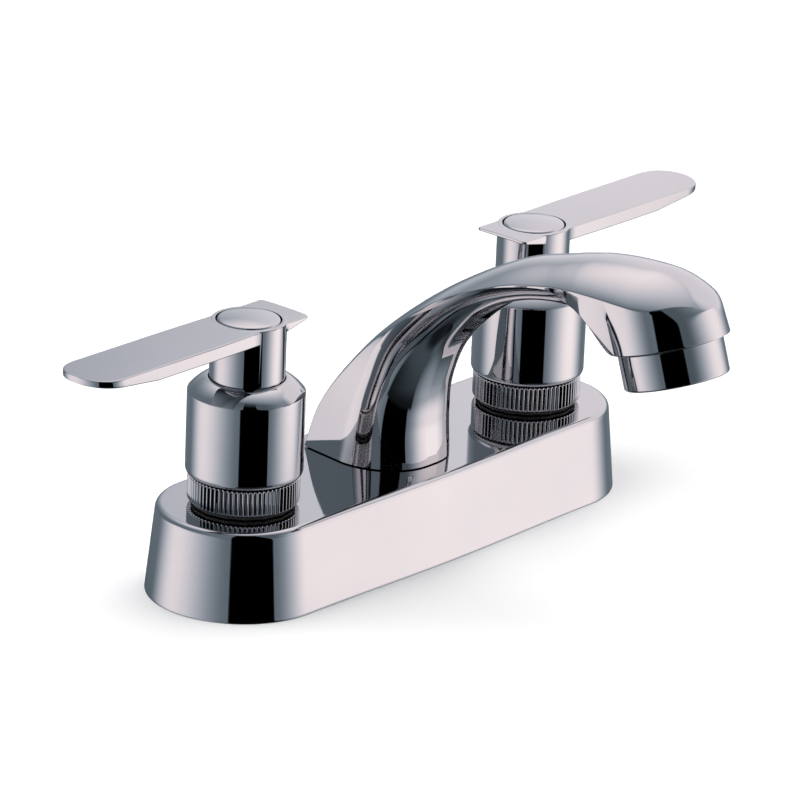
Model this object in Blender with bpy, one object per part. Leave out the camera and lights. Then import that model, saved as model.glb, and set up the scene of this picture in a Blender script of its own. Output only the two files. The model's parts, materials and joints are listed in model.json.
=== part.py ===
# Two-handle basin mixer tap on a 4 inch deck base, with levers, bonnets and a fixed arched spout.
# Metres, +Z up, origin in the middle of the underside. The spout points to -Y, the levers lie along X.
import math

import bmesh
import bpy
from mathutils import Matrix, Vector

MM = 0.001
GAP = 0.3 * MM  # between two pieces that touch

# Base cover
HANDLE_SPACING = 101.6 * MM
BASE_HEIGHT = 21.6 * MM
BASE_END_CENTRE = 51.5 * MM
BASE_END_RADIUS = 22.1 * MM
BASE_SIDE_BOW = 1.0 * MM
BASE_DRAFT = math.radians(5.6)
BASE_EDGE_RADIUS = 1.6 * MM
BASE_WALL = 2.2 * MM
BASE_TOP_WALL = 2.4 * MM
GASKET_THICKNESS = 2.0 * MM

# Waterway under the cover
CHAMBER_RADIUS = 10.5 * MM
CHAMBER_TOP = 33.0 * MM
CHAMBER_BORE = 8.3 * MM
CHAMBER_FLANGE_RADIUS = 12.4 * MM
INLET_RADIUS = 7.5 * MM
INLET_DEPTH = 8.6 * MM
SEAT_TOP = 10.6 * MM
SEAT_HOLE_RADIUS = 3.2 * MM
CROSS_TUBE_RADIUS = 4.6 * MM
CROSS_TUBE_BORE = 3.2 * MM
CROSS_TUBE_HEIGHT = 13.9 * MM
BOSS_RADIUS = 10.5 * MM
BOSS_BOTTOM = 8.5 * MM
SPIGOT_RADIUS = 7.6 * MM
SPIGOT_BOTTOM = 3.2 * MM

# Knurled ring and bonnet
RING_RADIUS = 13.2 * MM
RING_BORE = 10.85 * MM
RING_BOTTOM = 22.8 * MM
RING_TOP = 29.0 * MM
RING_RIBS = 72
RING_RIB_HEIGHT = 0.5 * MM
BONNET_RADIUS = 13.85 * MM
BONNET_BOTTOM = 30.1 * MM
BONNET_RIM = 49.9 * MM
BONNET_TOP = 52.5 * MM
BONNET_WALL = 1.55 * MM
BONNET_HOLE = 9.25 * MM
BONNET_LEDGE = 1.0 * MM

# Lever
NECK_RADIUS = 8.9 * MM
NECK_BOTTOM = 49.9 * MM
LEVER_TOP = 67.15 * MM
BLADE_REACH = 57.0 * MM
BLADE_HALF_WIDTH = 8.1 * MM
BLADE_TIP_LENGTH = 7.8 * MM
BLADE_ROOT_THICKNESS = 3.5 * MM
BLADE_TIP_THICKNESS = 1.5 * MM
BLADE_TAPER_START = 38.0 * MM
TAIL_REACH = 12.4 * MM
TAIL_HALF_WIDTH = 7.7 * MM
TAIL_END_THICKNESS = 0.8 * MM
TAIL_CORNER = 0.9 * MM
CAP_RADIUS = 7.5 * MM
CAP_RISE = 1.05 * MM
CAP_EDGE_RADIUS = 0.9 * MM
CAP_EDGE_SLOPE = 12.0  # degrees, where the dome meets the rounded edge
RECESS_DEPTH = 3.2 * MM

# Spindle and cartridge
SPINDLE_RADIUS = 4.1 * MM
SPINDLE_TOP = 60.0 * MM
SPLINE_TEETH = 8
CARTRIDGE_FOOT = 11.9 * MM
CARTRIDGE_FOOT_RADIUS = 6.9 * MM
CARTRIDGE_FOOT_BORE = 5.8 * MM
CARTRIDGE_NECK_TOP = 46.0 * MM
CARTRIDGE_FLANGE = 3.0 * MM
DISC_RADIUS = 5.5 * MM

# Spout
SPOUT_FOOT = BASE_HEIGHT + GAP
OUTLET_TILT = math.radians(18.4)
OUTLET_CENTRE = Vector((0.0, -83.8 * MM, 71.5 * MM))
NOSE_RIM_RADIUS = 14.1 * MM
NOSE_CREASE_RADIUS = 13.3 * MM
NOSE_NECKING = 0.7 * MM  # how much narrower the crease is behind the outlet
NOSE_BACK_CROWN = 6.1 * MM
NOSE_CREASE_DROP = 0.5 * MM  # of the crease, from over the outlet to the back of the nose
NOSE_LEAD_IN = 3.3 * MM  # how far into the nose the arch's last span is steered
NOSE_RIM_EDGE = 0.3 * MM
NOSE_CUT_START = 6.2 * MM  # behind the outlet's centre, the lower edge leaves the rim
NOSE_CUT_WIDTH = 12.55 * MM
NOSE_CUT_HEIGHT = 10.2 * MM
CREASE_HEIGHT = 82.2 * MM
NOSE_CROWN = 6.8 * MM
OUTLET_SPIGOT_RADIUS = 10.7 * MM
OUTLET_SPIGOT_LENGTH = 3.6 * MM
OUTLET_BORE = 7.0 * MM
AERATOR_RADIUS = 12.3 * MM
AERATOR_LENGTH = 8.9 * MM

ROUND_STEPS = 32  # sides of a round piece that shows
HIDDEN_STEPS = 16  # sides of one that doesn't
CAP_STEPS = 24  # sides of the lever cap and its recess
ARCH_STEPS = 21
NOSE_STEPS = 7
FACE_STEPS = 5


def chrome(name):
    return material(name, (0.80, 0.79, 0.80), 0.06, 1.0)


def material(name, colour, roughness, metallic):
    found = bpy.data.materials.new(name)
    found.use_nodes = True
    shader = found.node_tree.nodes["Principled BSDF"]
    shader.inputs["Base Color"].default_value = (*colour, 1.0)
    shader.inputs["Roughness"].default_value = roughness
    shader.inputs["Metallic"].default_value = metallic
    return found


def brass(name):
    return material(name, (0.72, 0.55, 0.30), 0.30, 1.0)


def rubber(name):
    return material(name, (0.03, 0.03, 0.03), 0.75, 0.0)


def ceramic(name):
    return material(name, (0.88, 0.87, 0.84), 0.20, 0.0)


def add_object(name, mesh, finish, parent=None, location=(0.0, 0.0, 0.0), turn=0.0):
    made = bpy.data.objects.new(name, mesh)
    bpy.context.scene.collection.objects.link(made)
    made.location = location
    made.rotation_euler = (0.0, 0.0, turn)
    made.parent = parent
    if finish:
        mesh.materials.append(finish)
    mesh.shade_smooth()
    mesh.set_sharp_from_angle(angle=math.radians(32))
    return made


def mesh_from(bm, name):
    bmesh.ops.remove_doubles(bm, verts=bm.verts, dist=0.002 * MM)
    bmesh.ops.recalc_face_normals(bm, faces=bm.faces)
    mesh = bpy.data.meshes.new(name)
    bm.to_mesh(mesh)
    bm.free()
    return mesh


def loft(name, rings, closed=False):
    """A closed surface through rings of points, with flat ends, or one that runs round to its first ring."""
    bm = bmesh.new()
    rows = [[bm.verts.new(point) for point in ring] for ring in rings]
    pairs = list(zip(rows, rows[1:]))
    if closed:
        pairs.append((rows[-1], rows[0]))
    for low, high in pairs:
        for i in range(len(low)):
            bm.faces.new((low[i - 1], low[i], high[i], high[i - 1]))
    if not closed:
        bm.faces.new(rows[0])
        bm.faces.new(reversed(rows[-1]))
    return mesh_from(bm, name)


def circle(radius, height, steps=ROUND_STEPS):
    turns = [2 * math.pi * i / steps for i in range(steps)]
    return [Vector((radius * math.cos(t), radius * math.sin(t), height)) for t in turns]


def turned(name, profile, steps=ROUND_STEPS, bored=True):
    """Turns a profile of (radius, height) about Z: a closed loop round a bore, or a solid from end to end."""
    return loft(name, [circle(r, z, steps) for r, z in profile], closed=bored)


def tube(name, inner, outer, low, high, steps=ROUND_STEPS):
    return turned(name, [(inner, low), (outer, low), (outer, high), (inner, high)], steps)


def rod(name, radius, low, high, steps=ROUND_STEPS):
    return turned(name, [(radius, low), (radius, high)], steps, bored=False)


def fillet(centre, radius, start, end, steps):
    """Points of an arc in a profile, by angle in degrees from +radius towards +height."""
    angles = [math.radians(start + (end - start) * i / steps) for i in range(steps + 1)]
    return [(centre[0] + radius * math.cos(a), centre[1] + radius * math.sin(a)) for a in angles]


def torus(name, ring_radius, section_radius, height, section_steps=5):
    angles = [2 * math.pi * i / section_steps for i in range(section_steps)]
    profile = [
        (ring_radius + section_radius * math.cos(a), height + section_radius * math.sin(a))
        for a in angles
    ]
    return turned(name, profile, HIDDEN_STEPS)


def combine(target, other, operation):
    """Joins or cuts with a hidden helper that stays in the scene as a wire shape."""
    other.hide_render = True
    other.display_type = "WIRE"
    step = target.modifiers.new(other.name, "BOOLEAN")
    step.operation = operation
    step.solver = "EXACT"
    step.object = other


def helper(name, mesh, parent=None, location=(0.0, 0.0, 0.0), turn=0.0):
    return add_object(name, mesh, None, parent, location, turn)


def cut(target, name, mesh, location=(0.0, 0.0, 0.0), parent=None):
    combine(target, helper(name, mesh, parent, location), "DIFFERENCE")


def join(target, name, mesh, location=(0.0, 0.0, 0.0), parent=None):
    combine(target, helper(name, mesh, parent, location), "UNION")


def base_outline(inset, height, end_steps=14, side_steps=4):
    """The base's plan: two round ends joined by slightly swelling sides."""
    radius = BASE_END_RADIUS - inset
    half = []
    for i in range(end_steps + 1):
        turn = -math.pi / 2 + math.pi * i / end_steps
        half.append((BASE_END_CENTRE + radius * math.cos(turn), radius * math.sin(turn)))
    for i in range(1, side_steps):
        x = BASE_END_CENTRE * (1 - 2 * i / side_steps)
        bow = BASE_SIDE_BOW * math.cos(math.pi * x / (2 * BASE_END_CENTRE)) ** 2
        half.append((x, radius + bow))
    outline = half + [(-x, -y) for x, y in half]
    return [Vector((x, y, height)) for x, y in outline]


def make_base_cover():
    slope = math.tan(BASE_DRAFT)
    inner_top = BASE_HEIGHT - BASE_TOP_WALL
    edge_low = BASE_HEIGHT - BASE_EDGE_RADIUS * (1 - math.sin(BASE_DRAFT))
    edge_centre = slope * edge_low + BASE_EDGE_RADIUS * math.cos(BASE_DRAFT)
    rings = [
        base_outline(BASE_WALL + slope * inner_top, inner_top),
        base_outline(BASE_WALL, 0.0),
        base_outline(0.0, 0.0),
    ]
    edge_steps = 3
    for i in range(edge_steps + 1):
        turn = BASE_DRAFT + (math.pi / 2 - BASE_DRAFT) * i / edge_steps
        inset = edge_centre - BASE_EDGE_RADIUS * math.cos(turn)
        height = BASE_HEIGHT - BASE_EDGE_RADIUS * (1 - math.sin(turn))
        rings.append(base_outline(inset, height))
    cover = add_object("base_cover", loft("base_cover", rings), chrome("base chrome"))
    low, high = inner_top - 1 * MM, BASE_HEIGHT + 1 * MM
    for side, x in sides():
        hole = rod("hole", CHAMBER_RADIUS + 0.5 * MM, low, high, HIDDEN_STEPS)
        cut(cover, f"cover_hole_{side}", hole, (x, 0, 0))
    cut(cover, "cover_hole_spout", rod("hole", SPIGOT_RADIUS + 0.5 * MM, low, high, HIDDEN_STEPS))


def make_base_gasket():
    inset = BASE_WALL + GAP
    slope = math.tan(BASE_DRAFT)
    rings = [
        base_outline(inset, 0.0, 8, 2),
        base_outline(inset + slope * GASKET_THICKNESS, GASKET_THICKNESS, 8, 2),
    ]
    gasket = add_object("base_gasket", loft("base_gasket", rings), rubber("gasket foam"))
    for side, x in sides():
        hole = rod("hole", CHAMBER_RADIUS + 0.7 * MM, -1 * MM, 3 * MM, HIDDEN_STEPS)
        cut(gasket, f"gasket_hole_{side}", hole, (x, 0, 0))


def sides():
    return (("left", -HANDLE_SPACING / 2), ("right", HANDLE_SPACING / 2))


def make_waterway():
    """One brass casting: two valve chambers joined by a tube, with the spout's boss in the middle."""
    flange_top = BASE_HEIGHT - BASE_TOP_WALL - GAP
    flange_low = flange_top - 3 * MM
    cross = Matrix.Rotation(math.pi / 2, 4, "Y")
    span = rod("waterway_body", CROSS_TUBE_RADIUS, -HANDLE_SPACING / 2, HANDLE_SPACING / 2, 16)
    span.transform(Matrix.Translation((0, 0, CROSS_TUBE_HEIGHT)) @ cross)
    body = add_object("waterway_body", span, brass("waterway brass"))
    chamber = [
        (CHAMBER_RADIUS, GAP),
        (CHAMBER_RADIUS, flange_low),
        (CHAMBER_FLANGE_RADIUS, flange_low),
        (CHAMBER_FLANGE_RADIUS, flange_top),
        (CHAMBER_RADIUS, flange_top),
        (CHAMBER_RADIUS, CHAMBER_TOP),
    ]
    for side, x in sides():
        join(body, f"chamber_{side}", turned("chamber", chamber, HIDDEN_STEPS, bored=False), (x, 0, 0))
    join(body, "spout_boss", rod("boss", BOSS_RADIUS, BOSS_BOTTOM, flange_top, HIDDEN_STEPS))
    bore = [
        (INLET_RADIUS, -1 * MM),
        (INLET_RADIUS, INLET_DEPTH),
        (SEAT_HOLE_RADIUS, INLET_DEPTH),
        (SEAT_HOLE_RADIUS, SEAT_TOP),
        (CHAMBER_BORE, SEAT_TOP),
        (CHAMBER_BORE, CHAMBER_TOP + 1 * MM),
    ]
    for side, x in sides():
        cut(body, f"chamber_bore_{side}", turned("bore", bore, HIDDEN_STEPS, bored=False), (x, 0, 0))
    boss_bore = rod("bore", SPIGOT_RADIUS + 0.4 * MM, BOSS_BOTTOM - 1 * MM, flange_top + 1 * MM, HIDDEN_STEPS)
    cut(body, "boss_bore", boss_bore)
    water = rod("water", CROSS_TUBE_BORE, -HANDLE_SPACING / 2, HANDLE_SPACING / 2, 12)
    water.transform(Matrix.Translation((0, 0, CROSS_TUBE_HEIGHT)) @ cross)
    cut(body, "cross_bore", water)


def make_spout_fixing():
    """The nut and washer that pull the spout's spigot down against the waterway's boss."""
    washer_low = BOSS_BOTTOM - GAP - 0.8 * MM
    bore = SPIGOT_RADIUS + 0.35 * MM
    washer = tube("spout_washer", bore, 10.4 * MM, washer_low, BOSS_BOTTOM - GAP, HIDDEN_STEPS)
    add_object("spout_washer", washer, rubber("spout washer"))
    nut = rod("spout_nut", 11.0 * MM, SPIGOT_BOTTOM, washer_low - GAP, 6)
    nut = add_object("spout_nut", nut, brass("nut brass"))
    cut(nut, "spout_nut_bore", rod("bore", bore, 0.0, BOSS_BOTTOM, HIDDEN_STEPS))
    add_object("spout_o_ring", torus("spout_o_ring", 7.0 * MM, 0.65 * MM, 17.2 * MM), rubber("o-ring"))


def spline(points, share):
    """A smooth curve through the points, read at a share from 0 to 1; the last point only steers its end."""
    spans = len(points) - 2
    place = min(max(share, 0.0), 1.0) * spans
    i = min(int(place), spans - 1)
    t = place - i
    p1, p2, p3 = points[i : i + 3]
    p0 = points[i - 1] if i > 0 else 2 * p1 - p2
    return 0.5 * (
        2 * p1
        + (p2 - p0) * t
        + (2 * p0 - 5 * p1 + 4 * p2 - p3) * t * t
        + (3 * p1 - p0 - 3 * p2 + p3) * t * t * t
    )


def outlet_point(forward, up):
    """A point in the spout's middle plane, measured from the outlet rim's centre."""
    tilt = OUTLET_TILT
    ahead = Vector((0.0, -math.cos(tilt), math.sin(tilt)))
    above = Vector((0.0, math.sin(tilt), math.cos(tilt)))
    return OUTLET_CENTRE + ahead * forward + above * up


def crease_above(forward):
    """How far the crease, which is nearly level, lies above the tilted rim."""
    rim = outlet_point(forward, 0.0)
    drop = NOSE_CREASE_DROP * max(-forward / NOSE_RIM_RADIUS, 0.0) ** 2
    return (CREASE_HEIGHT - drop - rim.z) / math.cos(OUTLET_TILT)


def arch_sections():
    """Control sections from the foot to the back of the nose, and one more to steer into the nose.

    Each has the inner and outer points of the middle plane, the half widths at the crease and under it,
    the crown's height over the crease, the width and height at which the lower corners start, and how
    straight those corners are cut.
    """
    rows = (
        ((-14.1, 21.9), (18.5, 21.9), 13.5, 15.0, 3.7, 2.0, 15.2, 0.0),
        ((-13.5, 32.4), (14.9, 33.2), 12.9, 14.2, 3.7, 2.0, 13.0, 0.0),
        ((-14.6, 42.5), (7.9, 43.7), 12.4, 13.1, 3.7, 2.4, 11.8, 0.0),
        ((-20.0, 54.0), (-3.4, 56.1), 11.8, 12.1, 3.5, 3.2, 12.2, 0.0),
        ((-30.9, 65.3), (-19.9, 69.2), 11.3, 11.4, 3.3, 4.6, 7.9, 0.0),
        ((-44.0, 72.6), (-38.4, 79.9), 11.0, 11.1, 4.3, 6.0, 4.5, 0.1),
        ((-57.0, 75.5), (-53.4, 84.9), 11.4, 11.4, 5.1, 6.5, 4.2, 0.3),
        ((-65.0, 73.2), (-60.4, 86.8), 12.25, 12.25, 5.8, 4.4, 5.2, 0.7),
    )
    sections = []
    for inner, outer, *numbers in rows:
        start = Vector((0.0, *inner)) * MM
        end = Vector((0.0, *outer)) * MM
        sections.append((start, end, Vector(numbers)))
    start, end, numbers = nose_section(-NOSE_RIM_RADIUS)
    sections.append((start, end, numbers))
    _, end_ahead, numbers_ahead = nose_section(-NOSE_RIM_RADIUS + NOSE_LEAD_IN)
    steer = 2 * numbers - sections[-2][2]
    steer[0], steer[2] = numbers_ahead[0], numbers_ahead[2]
    sections.append((2 * start - sections[-2][0], end_ahead, steer))
    return sections


def nose_section(forward):
    """The section at a place along the nose, with its numbers as above."""
    crease = forward * NOSE_CREASE_RADIUS / NOSE_RIM_RADIUS if forward > 0 else forward
    dome = (NOSE_CREASE_RADIUS**2 + NOSE_CROWN**2) / (2 * NOSE_CROWN)
    rim_width = math.sqrt(max(NOSE_RIM_RADIUS**2 - forward**2, 0.0))
    start = outlet_point(forward, 0.0)
    if forward > 0:
        width = math.sqrt(max(NOSE_CREASE_RADIUS**2 - crease**2, 0.0))
        crown = math.sqrt(dome**2 - crease**2) - (dome - NOSE_CROWN)
        cut = 0.0
        low_width = rim_width
    else:
        back = -forward / NOSE_RIM_RADIUS
        width = NOSE_CREASE_RADIUS - NOSE_NECKING * back**2
        crown = NOSE_CROWN + (NOSE_BACK_CROWN - NOSE_CROWN) * back**2
        cut = max(-forward - NOSE_CUT_START, 0.0) / (NOSE_RIM_RADIUS - NOSE_CUT_START)
        low_width = rim_width if cut == 0.0 else NOSE_CUT_WIDTH + (width - NOSE_CUT_WIDTH) * cut
    end = outlet_point(crease, crease_above(crease) + crown)
    corner = min(NOSE_RIM_EDGE, 0.2 * rim_width) + (NOSE_CUT_HEIGHT - NOSE_RIM_EDGE) * cut
    flat = max(rim_width - NOSE_RIM_EDGE, 0.9 * rim_width) + 2.0 * MM * cut**4
    corner = max(corner, 0.1 * NOSE_RIM_EDGE)
    return start, end, Vector((width / MM, low_width / MM, crown / MM, flat / MM, corner / MM, cut))


def section_points(inner, outer, numbers):
    """One closed ring: crowned outer face, crease, side wall, lower corner and inner face."""
    width, low_width, crown, flat, corner = [n * MM for n in numbers[:5]]
    straight = min(max(numbers[5], 0.0), 1.0)
    depth = (outer - inner).length
    away = (outer - inner).normalized()
    radius = (width * width + crown * crown) / (2 * crown)
    half = []
    for i in range(FACE_STEPS + 1):
        x = width * math.sin(math.pi / 2 * i / FACE_STEPS)
        half.append((x, depth - radius + math.sqrt(max(radius * radius - x * x, 0.0))))
    side_steps = 2
    crease = depth - crown
    for i in range(1, side_steps + 1):
        share = i / side_steps
        half.append((width + (low_width - width) * share, crease + (corner - crease) * share))
    corner_steps = 3
    power = 1 + straight
    for i in range(1, corner_steps + 1):
        turn = math.pi / 2 * i / corner_steps
        across = max(math.cos(turn), 0.0) ** power
        half.append((flat + (low_width - flat) * across, corner * (1 - math.sin(turn) ** power)))
    half.append((flat / 2, 0.0))
    half.append((0.0, 0.0))
    mirrored = [(-x, v) for x, v in reversed(half[1:-1])]
    return [Vector((x, 0.0, 0.0)) + inner + away * v for x, v in half + mirrored]


def spout_rings():
    """Rings from the foot over the arch, then forward over the outlet to the nose's front."""
    inner, outer, numbers = zip(*arch_sections())
    rings = []
    for i in range(ARCH_STEPS):
        share = i / ARCH_STEPS
        rings.append(
            section_points(spline(inner, share), spline(outer, share), spline(numbers, share))
        )
    for i in range(2 * NOSE_STEPS):
        turn = math.pi * (i / (2 * NOSE_STEPS - 0.85) - 0.5)
        rings.append(section_points(*nose_section(NOSE_RIM_RADIUS * math.sin(turn))))
    return rings


def along_outlet(mesh):
    """Turns a piece modelled up +Z so that it hangs from the rim, with z = 0 on the rim plane."""
    mesh.transform(Matrix.Translation(OUTLET_CENTRE) @ Matrix.Rotation(-OUTLET_TILT, 4, "X"))
    return mesh


def water_channel():
    """The flattened channel that runs inside the arch, as a row of oval rings."""
    inner, outer, numbers = zip(*arch_sections())
    rings = [circle(5.4 * MM, SPIGOT_BOTTOM + 4 * MM, 12), circle(5.4 * MM, SPOUT_FOOT, 12)]
    steps = 10
    for i in range(2, steps + 1):
        share = 0.97 * i / steps
        start, end = spline(inner, share), spline(outer, share)
        away = (end - start).normalized()
        depth = (end - start).length
        across = min(spline(numbers, share)[0] * MM - 4.2 * MM, 8.0 * MM)
        along = min(depth / 2 - 2.9 * MM, 7.0 * MM)
        middle = start + away * (depth / 2 - 0.3 * MM)
        ring = []
        for p in circle(1.0, 0.0, 12):
            ring.append(middle + Vector((p.x * across, 0, 0)) + away * (p.y * along))
        rings.append(ring)
    end_ring = [p + Vector((0.0, -9.0 * MM, -1.0 * MM)) for p in rings[-1]]
    rings.append(end_ring)
    return loft("water_channel", rings)


def make_spout():
    spout = add_object("spout", loft("spout", spout_rings()), chrome("spout chrome"))
    spigot = rod("spigot", SPIGOT_RADIUS, SPIGOT_BOTTOM, SPOUT_FOOT + 3 * MM, HIDDEN_STEPS)
    join(spout, "spout_spigot", spigot)
    outlet = rod("outlet", OUTLET_SPIGOT_RADIUS, -OUTLET_SPIGOT_LENGTH, 3 * MM, HIDDEN_STEPS)
    join(spout, "outlet_spigot", along_outlet(outlet))
    cut(spout, "water_channel", water_channel())
    mouth = rod("mouth", OUTLET_BORE, -OUTLET_SPIGOT_LENGTH - 1 * MM, 10 * MM, HIDDEN_STEPS)
    cut(spout, "outlet_mouth", along_outlet(mouth))
    groove = tube("groove", 6.05 * MM, SPIGOT_RADIUS + 1 * MM, 16.2 * MM, 18.2 * MM, HIDDEN_STEPS)
    cut(spout, "o_ring_groove", groove)
    port = rod("port", 2.6 * MM, -10 * MM, 10 * MM, 8)
    port.transform(Matrix.Translation((0, 0, 12.6 * MM)) @ Matrix.Rotation(math.pi / 2, 4, "Y"))
    cut(spout, "spigot_port", port)


def make_aerator():
    """The screwed cup under the nose, with its gasket, screen and flow insert."""
    top = -GAP
    bottom = -AERATOR_LENGTH
    lip = bottom + 1.0 * MM
    bore = OUTLET_SPIGOT_RADIUS + GAP
    housing = [(8.8 * MM, bottom), (AERATOR_RADIUS - 0.5 * MM, bottom)]
    housing += [(AERATOR_RADIUS, bottom + 0.5 * MM), (AERATOR_RADIUS, top - 0.3 * MM)]
    housing += [(AERATOR_RADIUS - 0.3 * MM, top), (bore, top), (bore, lip), (8.8 * MM, lip)]
    cup = turned("aerator_housing", housing)
    add_object("aerator_housing", along_outlet(cup), chrome("aerator chrome"))
    gasket_top = -OUTLET_SPIGOT_LENGTH - GAP
    gasket = tube("aerator_gasket", 7.6 * MM, 10.6 * MM, gasket_top - 0.9 * MM, gasket_top, HIDDEN_STEPS)
    add_object("aerator_gasket", along_outlet(gasket), rubber("aerator rubber"))
    screen_top = gasket_top - 0.9 * MM - GAP
    screen = rod("aerator_screen", 10.5 * MM, screen_top - 0.4 * MM, screen_top, HIDDEN_STEPS)
    steel = material("screen steel", (0.55, 0.56, 0.57), 0.35, 1.0)
    add_object("aerator_screen", along_outlet(screen), steel)
    insert_top = screen_top - 0.4 * MM - GAP
    seat = lip + GAP
    profile = [(8.4 * MM, bottom + 0.2 * MM), (8.4 * MM, seat), (10.5 * MM, seat), (10.5 * MM, insert_top)]
    plastic = material("insert plastic", (0.55, 0.57, 0.60), 0.45, 0.0)
    insert_mesh = turned("aerator_insert", profile, HIDDEN_STEPS, bored=False)
    insert = add_object("aerator_insert", along_outlet(insert_mesh), plastic)
    cut(insert, "insert_holes", along_outlet(hole_pattern(bottom - 1 * MM, insert_top + 1 * MM)))


def hole_pattern(low, high):
    """A middle jet and six round it, in one cutter."""
    bm = bmesh.new()
    places = [(0.0, 0.0)]
    for i in range(6):
        turn = 2 * math.pi * i / 6
        places.append((5.2 * MM * math.cos(turn), 5.2 * MM * math.sin(turn)))
    for x, y in places:
        rows = [
            [bm.verts.new(p + Vector((x, y, 0.0))) for p in circle(1.3 * MM, z, 6)]
            for z in (low, high)
        ]
        for i in range(6):
            bm.faces.new((rows[0][i - 1], rows[0][i], rows[1][i], rows[1][i - 1]))
        bm.faces.new(reversed(rows[0]))
        bm.faces.new(rows[1])
    return mesh_from(bm, "holes")


def ribbed_circle(height, crest):
    """The knurl's section: a root and a crest to each rib; with no crest, a plain circle."""
    points = []
    for rib in range(RING_RIBS):
        for offset, rise in ((0.0, 0.0), (0.5 * crest, crest)):
            turn = 2 * math.pi * (rib + offset) / RING_RIBS
            radius = RING_RADIUS - RING_RIB_HEIGHT * (1 - rise)
            points.append(Vector((radius * math.cos(turn), radius * math.sin(turn), height)))
    return points


def make_ring(side, x):
    chamfer = 0.45 * MM
    rings = [
        ribbed_circle(RING_BOTTOM, 0.0),
        ribbed_circle(RING_BOTTOM + chamfer, 1.0),
        ribbed_circle(RING_TOP - chamfer, 1.0),
        ribbed_circle(RING_TOP, 0.0),
    ]
    name = f"knurled_ring_{side}"
    ring = add_object(name, loft(name, rings), chrome("ring chrome"), location=(x, 0, 0))
    bore = rod("bore", RING_BORE, RING_BOTTOM - 1 * MM, RING_TOP + 1 * MM, HIDDEN_STEPS)
    cut(ring, f"ring_bore_{side}", bore, (x, 0, 0))
    washer = tube("washer", 11.0 * MM, 12.3 * MM, BASE_HEIGHT + GAP, RING_BOTTOM - GAP, HIDDEN_STEPS)
    fibre = material("ring fibre", (0.06, 0.04, 0.03), 0.8, 0.0)
    add_object(f"ring_washer_{side}", washer, fibre, location=(x, 0, 0))


def make_bonnet(side, x):
    """A round cover that seats on the cartridge's flange: soft lower edge, crisp rim, low shoulder."""
    inner = BONNET_RADIUS - BONNET_WALL
    edge = 1.3 * MM
    rim = 0.5 * MM
    profile = [(inner, BONNET_BOTTOM)]
    profile += fillet((BONNET_RADIUS - edge, BONNET_BOTTOM + edge), edge, -90, 0, 2)
    profile += fillet((BONNET_RADIUS - rim, BONNET_RIM - rim), rim, 0, 60, 1)
    shoulder_steps = 3
    for i in range(1, shoulder_steps + 1):
        share = i / shoulder_steps
        reach = BONNET_RADIUS - rim + (BONNET_HOLE - BONNET_RADIUS + rim) * share
        profile.append((reach, BONNET_RIM + (BONNET_TOP - BONNET_RIM) * math.sin(math.pi / 2 * share)))
    ledge = CHAMBER_TOP + GAP + CARTRIDGE_FLANGE + GAP
    profile.append((BONNET_HOLE, BONNET_TOP - 1.9 * MM))
    profile.append((inner - BONNET_LEDGE, BONNET_TOP - 4.2 * MM))
    profile.append((inner - BONNET_LEDGE, ledge))
    profile.append((inner, ledge))
    name = f"bonnet_{side}"
    add_object(name, turned(name, profile), chrome("bonnet chrome"), location=(x, 0, 0))


def lever_section(x, half_width, top, thickness):
    """One cross section of the blade, with eased upper and lower edges."""
    ease = min(0.35 * MM, 0.3 * thickness, 0.3 * half_width)
    under = top - thickness
    half = [
        (half_width - ease, top),
        (half_width, top - ease),
        (half_width, under + ease),
        (half_width - ease, under),
    ]
    ring = half + [(-y, z) for y, z in reversed(half)]
    return [Vector((x, y, z)) for y, z in ring]


def blade_width(x):
    """Half width along the lever: a squarish tail, straight sides and a round tip."""
    straight = BLADE_REACH - BLADE_TIP_LENGTH
    if x > straight:
        share = (x - straight) / BLADE_TIP_LENGTH
        return BLADE_HALF_WIDTH * max(1 - share**2.3, 0.0) ** (1 / 2.3)
    if x < 0:
        corner = max(-x - (TAIL_REACH - TAIL_CORNER), 0.0) / TAIL_CORNER
        return TAIL_HALF_WIDTH - TAIL_CORNER * corner**2
    return TAIL_HALF_WIDTH + (BLADE_HALF_WIDTH - TAIL_HALF_WIDTH) * min(x / (20 * MM), 1.0)


def blade_thickness(x):
    if x < 0:
        return BLADE_ROOT_THICKNESS + (TAIL_END_THICKNESS - BLADE_ROOT_THICKNESS) * (-x / TAIL_REACH)
    share = max(x - BLADE_TAPER_START, 0.0) / (BLADE_REACH - BLADE_TAPER_START)
    return BLADE_ROOT_THICKNESS + (BLADE_TIP_THICKNESS - BLADE_ROOT_THICKNESS) * share


def blade_mesh():
    stations = [-TAIL_REACH, -TAIL_REACH + TAIL_CORNER / 2, -TAIL_REACH + TAIL_CORNER, 0.0]
    stations += [20 * MM, BLADE_TAPER_START]
    tip_steps = 9
    for i in range(tip_steps + 1):
        turn = math.pi / 2 * i / (tip_steps + 0.25)
        stations.append(BLADE_REACH - BLADE_TIP_LENGTH * (1 - math.sin(turn)))
    rings = [lever_section(x, blade_width(x), LEVER_TOP, blade_thickness(x)) for x in stations]
    return loft("blade", rings)


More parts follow.
